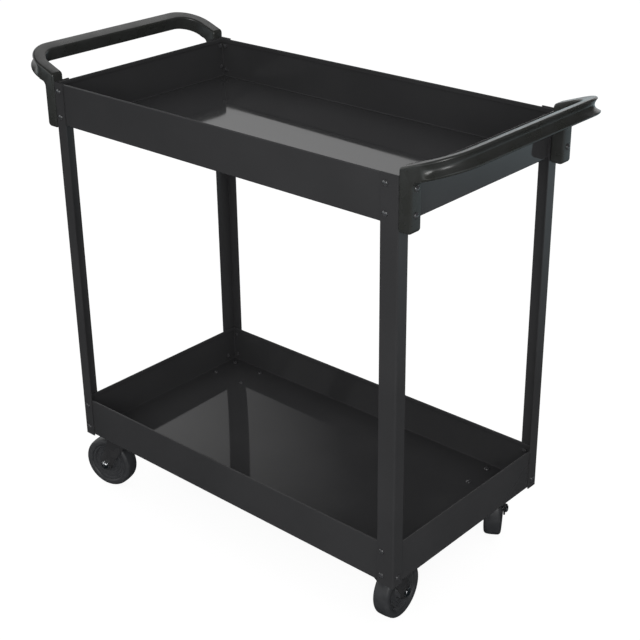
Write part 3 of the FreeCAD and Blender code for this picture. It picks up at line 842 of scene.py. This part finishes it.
@dataclass
class Caster:
    """Swivel caster: wheel and axle are turned anew and its pressings keep the frame's shape.

    Attributes:
        corner: Corner of the cart.
        half: Half the tyre's width.
        rim: Radius between tyre and core.
        shoulder: Radius of the tyre's shoulders.
        crown: How much higher the tread is in its middle.
        hub: Radius of the raised hub.
        hub_half: Half the hub's length.
        hub_edge: Bevel of the hub's edge.
        bore: Radius of the hole for the axle.
        shank: Radius of the axle bolt.
        across: Width of its head and nut across flats.
        head: Height of its head.
        chamfer: Width and height of the bevel at the seat of head and nut.
        shares: Shares of their height where their corners end, their top lies and the dome begins.
        land: How far their top lies inside the flats.
        dome: Radius of the dome as a share of the width across flats.
        dome_end: Angle at which the dome ends, in degrees.
    """

    corner: Corner
    half: float = 15.5 * MM
    rim: float = 37.0 * MM
    shoulder: float = 6.0 * MM
    crown: float = 0.5 * MM
    hub: float = 13.0 * MM
    hub_half: float = 17.0 * MM
    hub_edge: float = 1.0 * MM
    bore: float = 5.06 * MM
    shank: float = 5.0 * MM
    across: float = 15.0 * MM
    head: float = 5.5 * MM
    chamfer: tuple[float, float] = (0.6 * MM, 0.4 * MM)
    shares: tuple[float, float, float] = (0.5, 0.62, 0.64)
    land: float = 0.1 * MM
    dome: float = 0.42
    dome_end: float = 82.0

    def axle(self) -> tuple[np.ndarray, np.ndarray]:
        """Find the axle from the joint that the wheel spins on.

        Returns:
            Middle of the wheel and direction of its axle.
        """
        name = f"spin_{self.corner.value}"
        joint = next(item for item in frame["joints"] if item["name"] == name)
        return np.array(joint["pos_m"]), np.array(joint["axis"])

    def tyre(self, radius: float) -> np.ndarray:
        """Section of the tyre: crowned tread, round shoulders, sides that slope to the rim.

        The tread falls off from its middle with the square of the distance.

        Args:
            radius: Radius of the wheel.

        Returns:
            Radius and axle distance round the section.
        """
        flat = self.half - self.shoulder
        tread = np.linspace(flat, -flat, TREAD_STEPS)
        top = radius - self.crown * (tread / flat) ** 2
        edge = radius - self.crown - self.shoulder
        side = np.stack([self.rim + TYRE_SIDE[:, 0], self.half - TYRE_SIDE[:, 1]], axis=1)
        return np.vstack([
            side,
            arc((edge, flat), self.shoulder, 90, 0, SHOULDER_STEPS),
            np.stack([top, tread], axis=1)[1:-1],
            arc((edge, -flat), self.shoulder, 0, -90, SHOULDER_STEPS),
            side[::-1] * (1, -1),
        ])

    def core(self) -> np.ndarray:
        """Section of the core: bored hub, dished web with a raised ring, and rim.

        Returns:
            Radius and axle distance round the section.
        """
        side = np.vstack([
            [self.bore, self.hub_half],
            [self.hub - self.hub_edge, self.hub_half],
            [self.hub, self.hub_half - self.hub_edge],
            CORE_WEB,
        ])
        return np.vstack([side, side[::-1] * (1, -1)])

    def spread(self, node: str, middle: np.ndarray, axis: np.ndarray) -> tuple[float, float]:
        """Least and greatest distance of a node's points along the axle.

        Args:
            node: Name of the node.
            middle: Where the distance is 0.
            axis: Direction of the axle.

        Returns:
            Both distances.
        """
        along = (points_of(node) - middle) @ axis
        return float(along.min()), float(along.max())

    def hexagon(self, seat: np.ndarray, axis: np.ndarray, height: float) -> Shell:
        """Head or nut: a hexagon with turned-down corners and a dome, a quarter ellipse in section.

        Args:
            seat: Middle of the face that lies on the fork.
            axis: Direction away from the fork.
            height: Height of the hexagon with its dome.

        Returns:
            Its skin.
        """
        flank, top, spring = (share * height for share in self.shares)
        turn = np.radians(np.linspace(0, self.dome_end, DOME_STEPS))
        crown = np.vstack([
            [self.across / 2 - self.land, top],
            np.stack([self.dome * self.across * np.cos(turn),
                      spring + (height - spring) * np.sin(turn)], axis=1),
        ])
        return hexagonal(self.across, self.chamfer, flank, crown, seat, axis)

    def fasten(self, middle: np.ndarray, axis: np.ndarray) -> None:
        """Build axle bolt and nut between the ends of the frame's own.

        Args:
            middle: Middle of the wheel.
            axis: Direction of the axle.
        """
        name = self.corner.value
        bolt_node, nut_node, body = f"axle_bolt_{name}", f"axle_nut_{name}", f"caster_{name}"
        out = axis * math.copysign(1.0, sum(self.spread(nut_node, middle, axis)))
        nut_low, nut_high = self.spread(nut_node, middle, out)
        low, high = self.spread(bolt_node, middle, out)
        nut = self.hexagon(middle + out * nut_low, out, nut_high - nut_low)
        make_piece(f"{nut_node}_cap", [nut], ZINC_PLATE, body, (nut_node,))
        head = self.hexagon(middle + out * (low + self.head), -out, self.head)
        radii = self.shank * np.array([END_SHARE, 1, 1, END_SHARE])
        ends = np.array([low + self.head / 2, high]).repeat(2)
        stem = turned(np.stack([radii, ends], axis=1), middle, out, BOLT_STEPS)
        make_piece(f"{bolt_node}_turned", [head, stem], ZINC_PLATE, body,
                   (bolt_node,))

    def build(self) -> None:
        """Build tyre, core and axle, and give the frame's plate and fork their finish."""
        name = self.corner.value
        tyre_node, core_node, body = f"tyre_{name}", f"wheel_core_{name}", f"wheel_{name}"
        middle, axis = self.axle()
        low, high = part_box(f"tyre_{name}")
        tyre = turned(self.tyre((high[2] - low[2]) / 2), middle, axis, TYRE_STEPS, closed=True)
        make_piece(f"{tyre_node}_ring", [tyre], HARD_RUBBER, body, (tyre_node,))
        core = turned(self.core(), middle, axis, CORE_STEPS, closed=True)
        make_piece(f"{core_node}_disc", [core], WHEEL_NYLON, body, (core_node,))
        dress(f"caster_plate_{name}", POWDER_COAT)
        dress(f"fork_{name}", POWDER_COAT)
        self.fasten(middle, axis)


@dataclass(frozen=True)
class Card:
    """Dark card that only reflections see, thinning out along X.

    Attributes:
        name: Name of the card.
        corners: Its corners, in order.
        fade: X at which it is clear and X at which it is whole.
        colour: sRGB hex of the card.
    """

    name: str
    corners: tuple[Spot, ...]
    fade: tuple[float, float]
    colour: str = "#0c0c0c"


@dataclass(frozen=True)
class Lamp:
    """Soft square lamp.

    Attributes:
        name: Name of the lamp.
        place: Where it hangs.
        width: Its side.
        power: Its power in watts.
    """

    name: str
    place: Spot
    width: float
    power: float


CEILING_CARD = Card("dark_ceiling_card", (
    (-4.6, -14.0, 3.4), (14.0, -14.0, 3.4), (14.0, 5.6, 3.4), (-4.6, 5.6, 3.4)), (-4.5, -3.5))
SIDE_CARD = Card("dark_side_card", (
    (0.0, 4.0, 0.0), (4.6, -0.6, 0.0), (4.6, -0.6, 3.4), (0.0, 4.0, 3.4)), (0.2, 0.9))
KEY_LAMP = Lamp("key_lamp", (1.9, -2.4, 1.9), 1.4, 46.0)
BACK_LAMP = Lamp("back_lamp", (-1.74, 1.86, 2.84), 1.2, 5.5)


@dataclass
class Studio:
    """White studio: floor, sky, cards, lamps and the camera at the photograph's angle.

    Attributes:
        eye: Place of the camera.
        turn: Camera's heading from +Y in degrees, positive to the left.
        dip: How far it looks down, in degrees.
        roll: Its roll in degrees.
        focal: Focal length in widths of the sensor.
        shift: Shift of the lens to the right and up, in widths of the image.
        sensor: Width of the sensor in millimetres.
        room: Width of the floor.
        white: sRGB hex of the sky and of the floor's glow.
        daylight: Strength of the room's even light.
        matt: sRGB hex of the floor for the light that it sends back.
        shaded: sRGB hex of the part of the floor's look that takes the shadow.
        glow: Strength of the other part, which brings the floor up to white.
        mirror_dark: sRGB hex of the floor's dark part in reflections.
        mirror_pale: sRGB hex of its pale part in reflections.
        dim_middle: Middle of the floor's part that reflections see dark.
        dim_reach: Distances from there at which the floor starts to brighten and is pale.
        aim: Place in the cart that the lamps face.
    """

    eye: Spot = (1467.0 * MM, -1588.9 * MM, 1448.3 * MM)
    turn: float = 42.607
    dip: float = 24.633
    roll: float = -1.007
    focal: float = 2.09609375
    shift: tuple[float, float] = (0.0285, -0.0388)
    sensor: float = 36.0
    room: float = 30.0
    white: str = "#ffffff"
    daylight: float = 0.66
    matt: str = "#f0f0f0"
    shaded: str = "#6c6c6c"
    glow: float = 0.92
    mirror_dark: str = "#12171a"
    mirror_pale: str = "#d2e8ef"
    dim_middle: Spot = (-1.2, -1.6, 0.0)
    dim_reach: tuple[float, float] = (3.0, 5.0)
    aim: Spot = (0.0, 0.0, 0.45)

    def camera(self) -> None:
        """Set the camera up: its axes come from heading, dip and roll."""
        lens = bpy.data.cameras.new("camera")
        lens.sensor_width = self.sensor
        lens.lens = self.focal * self.sensor
        lens.shift_x, lens.shift_y = self.shift
        eye = bpy.data.objects.new("camera", lens)
        upright = Matrix.Rotation(math.radians(self.turn), 4, "Z")
        dipped = Matrix.Rotation(math.radians(90 - self.dip), 4, "X")
        rolled = Matrix.Rotation(math.radians(self.roll), 4, "Z")
        eye.matrix_world = Matrix.Translation(self.eye) @ upright @ dipped @ rolled
        bpy.context.scene.collection.objects.link(eye)
        bpy.context.scene.camera = eye

    def shown(self, tree: bpy.types.NodeTree) -> bpy.types.NodeSocket:
        """Add a test that is 1 where a ray comes from the eye, a reflection or a pane.

        Args:
            tree: Node tree that takes the test.

        Returns:
            Its output.
        """
        path = add_node(tree, "ShaderNodeLightPath").outputs
        direct = add_node(tree, "ShaderNodeMath", {
            0: path["Is Camera Ray"], 1: path["Is Transmission Ray"]}, operation="MAXIMUM")
        every = add_node(tree, "ShaderNodeMath", {
            0: direct.outputs["Value"], 1: path["Is Glossy Ray"]}, operation="MAXIMUM")
        return every.outputs["Value"]

    def sky(self) -> None:
        """Light the room evenly, and show it white to the eye and to what reflects it."""
        world = bpy.data.worlds.new("studio")
        bpy.context.scene.world = world
        world.use_nodes = True
        tree = world.node_tree
        tree.nodes.clear()
        strength = add_node(tree, "ShaderNodeMapRange", {
            "Value": self.shown(tree), "To Min": self.daylight, "To Max": 1.0})
        light = add_node(tree, "ShaderNodeBackground", {
            "Color": linear(self.white), "Strength": strength.outputs["Result"]})
        add_node(tree, "ShaderNodeOutputWorld", {"Surface": light.outputs["Background"]})

    def sheet(self, name: str,
              corners: tuple[Spot, ...]) -> tuple[bpy.types.Object, bpy.types.NodeTree]:
        """Set up a flat sheet of the studio with an empty material.

        Args:
            name: Name of the sheet and of its material.
            corners: Its corners, in order.

        Returns:
            The sheet, and its material's node tree.
        """
        mesh = bpy.data.meshes.new(name)
        mesh.from_pydata(corners, [], [(0, 1, 2, 3)])
        material = bpy.data.materials.new(name)
        material.use_nodes = True
        material.node_tree.nodes.clear()
        mesh.materials.append(material)
        made = bpy.data.objects.new(name, mesh)
        bpy.context.scene.collection.objects.link(made)
        return made, material.node_tree

    def floor(self) -> None:
        """Lay a white floor with the cart's shadow on it.

        Reflections see it dark in front of the cart and pale behind, by the distance from the
        dark part's middle.
        """
        half = self.room / 2
        _, tree = self.sheet("white_studio_floor", (
            (-half, -half, 0.0), (half, -half, 0.0), (half, half, 0.0), (-half, half, 0.0)))
        matt = add_node(tree, "ShaderNodeBsdfDiffuse", {"Color": linear(self.matt)})
        shaded = add_node(tree, "ShaderNodeBsdfDiffuse", {"Color": linear(self.shaded)})
        glow = add_node(tree, "ShaderNodeEmission", {
            "Color": linear(self.white), "Strength": self.glow})
        both = add_node(tree, "ShaderNodeAddShader", {
            0: shaded.outputs["BSDF"], 1: glow.outputs["Emission"]})
        place = add_node(tree, "ShaderNodeTexCoord").outputs["Object"]
        away = add_node(tree, "ShaderNodeVectorMath", {
            0: place, 1: self.dim_middle}, operation="DISTANCE")
        share = add_node(tree, "ShaderNodeMapRange", {
            "Value": away.outputs["Value"], "From Min": self.dim_reach[0],
            "From Max": self.dim_reach[1]})
        tone = add_node(tree, "ShaderNodeMix", {
            "Factor": share.outputs["Result"], MIX_FIRST: linear(self.mirror_dark),
            MIX_SECOND: linear(self.mirror_pale)}, data_type="RGBA")
        mirrored = add_node(tree, "ShaderNodeEmission", {
            "Color": tone.outputs[MIX_RESULT], "Strength": 1.0})
        glossy = add_node(tree, "ShaderNodeLightPath").outputs["Is Glossy Ray"]
        seen = add_node(tree, "ShaderNodeMixShader", {
            0: glossy, 1: both.outputs["Shader"], 2: mirrored.outputs["Emission"]})
        mixed = add_node(tree, "ShaderNodeMixShader", {
            0: self.shown(tree), 1: matt.outputs["BSDF"], 2: seen.outputs["Shader"]})
        add_node(tree, "ShaderNodeOutputMaterial", {"Surface": mixed.outputs["Shader"]})

    def hang_card(self, card: Card) -> None:
        """Set up a dark card: clear and dark mix along X.

        Args:
            card: The card.
        """
        made, tree = self.sheet(card.name, card.corners)
        made.visible_camera = made.visible_diffuse = False
        made.visible_transmission = made.visible_shadow = False
        place = add_node(tree, "ShaderNodeTexCoord").outputs["Object"]
        along = add_node(tree, "ShaderNodeSeparateXYZ", {"Vector": place}).outputs["X"]
        share = add_node(tree, "ShaderNodeMapRange", {
            "Value": along, "From Min": card.fade[0], "From Max": card.fade[1]})
        clear = add_node(tree, "ShaderNodeBsdfTransparent")
        dark = add_node(tree, "ShaderNodeBsdfDiffuse", {"Color": linear(card.colour)})
        mixed = add_node(tree, "ShaderNodeMixShader", {
            0: share.outputs["Result"], 1: clear.outputs["BSDF"], 2: dark.outputs["BSDF"]})
        add_node(tree, "ShaderNodeOutputMaterial", {"Surface": mixed.outputs["Shader"]})

    def hang_lamp(self, lamp: Lamp) -> None:
        """Hang a lamp that faces the cart.

        Args:
            lamp: The lamp.
        """
        light = bpy.data.lights.new(lamp.name, "AREA")
        light.size = lamp.width
        light.energy = lamp.power
        made = bpy.data.objects.new(lamp.name, light)
        facing = (Vector(self.aim) - Vector(lamp.place)).to_track_quat("-Z", "Y")
        made.matrix_world = Matrix.Translation(lamp.place) @ facing.to_matrix().to_4x4()
        bpy.context.scene.collection.objects.link(made)

    def build(self) -> None:
        """Set up camera, sky, floor, cards and lamps."""
        self.camera()
        self.sky()
        self.floor()
        for card in (CEILING_CARD, SIDE_CARD):
            self.hang_card(card)
        for lamp in (KEY_LAMP, BACK_LAMP):
            self.hang_lamp(lamp)
        bpy.context.scene.view_settings.view_transform = "Standard"
        LOG.info("studio is set")


def main() -> None:
    """Dress every part of the cart and set up the studio."""
    for node in ("upper_tray", "lower_tray"):
        Tray(node).build()
    for corner in Corner:
        dress(f"leg_{corner.value}", BAKED_ENAMEL)
    Grip("left_grip", End.LEFT).build()
    Grip("right_grip", End.RIGHT).build()
    for name, count in BOLT_COUNTS.items():
        FastenerSet(name, count).build()
    for corner in Corner:
        Caster(corner).build()
    Studio().build()


if __name__ == "__main__":
    logging.basicConfig(level=logging.INFO)
    main()
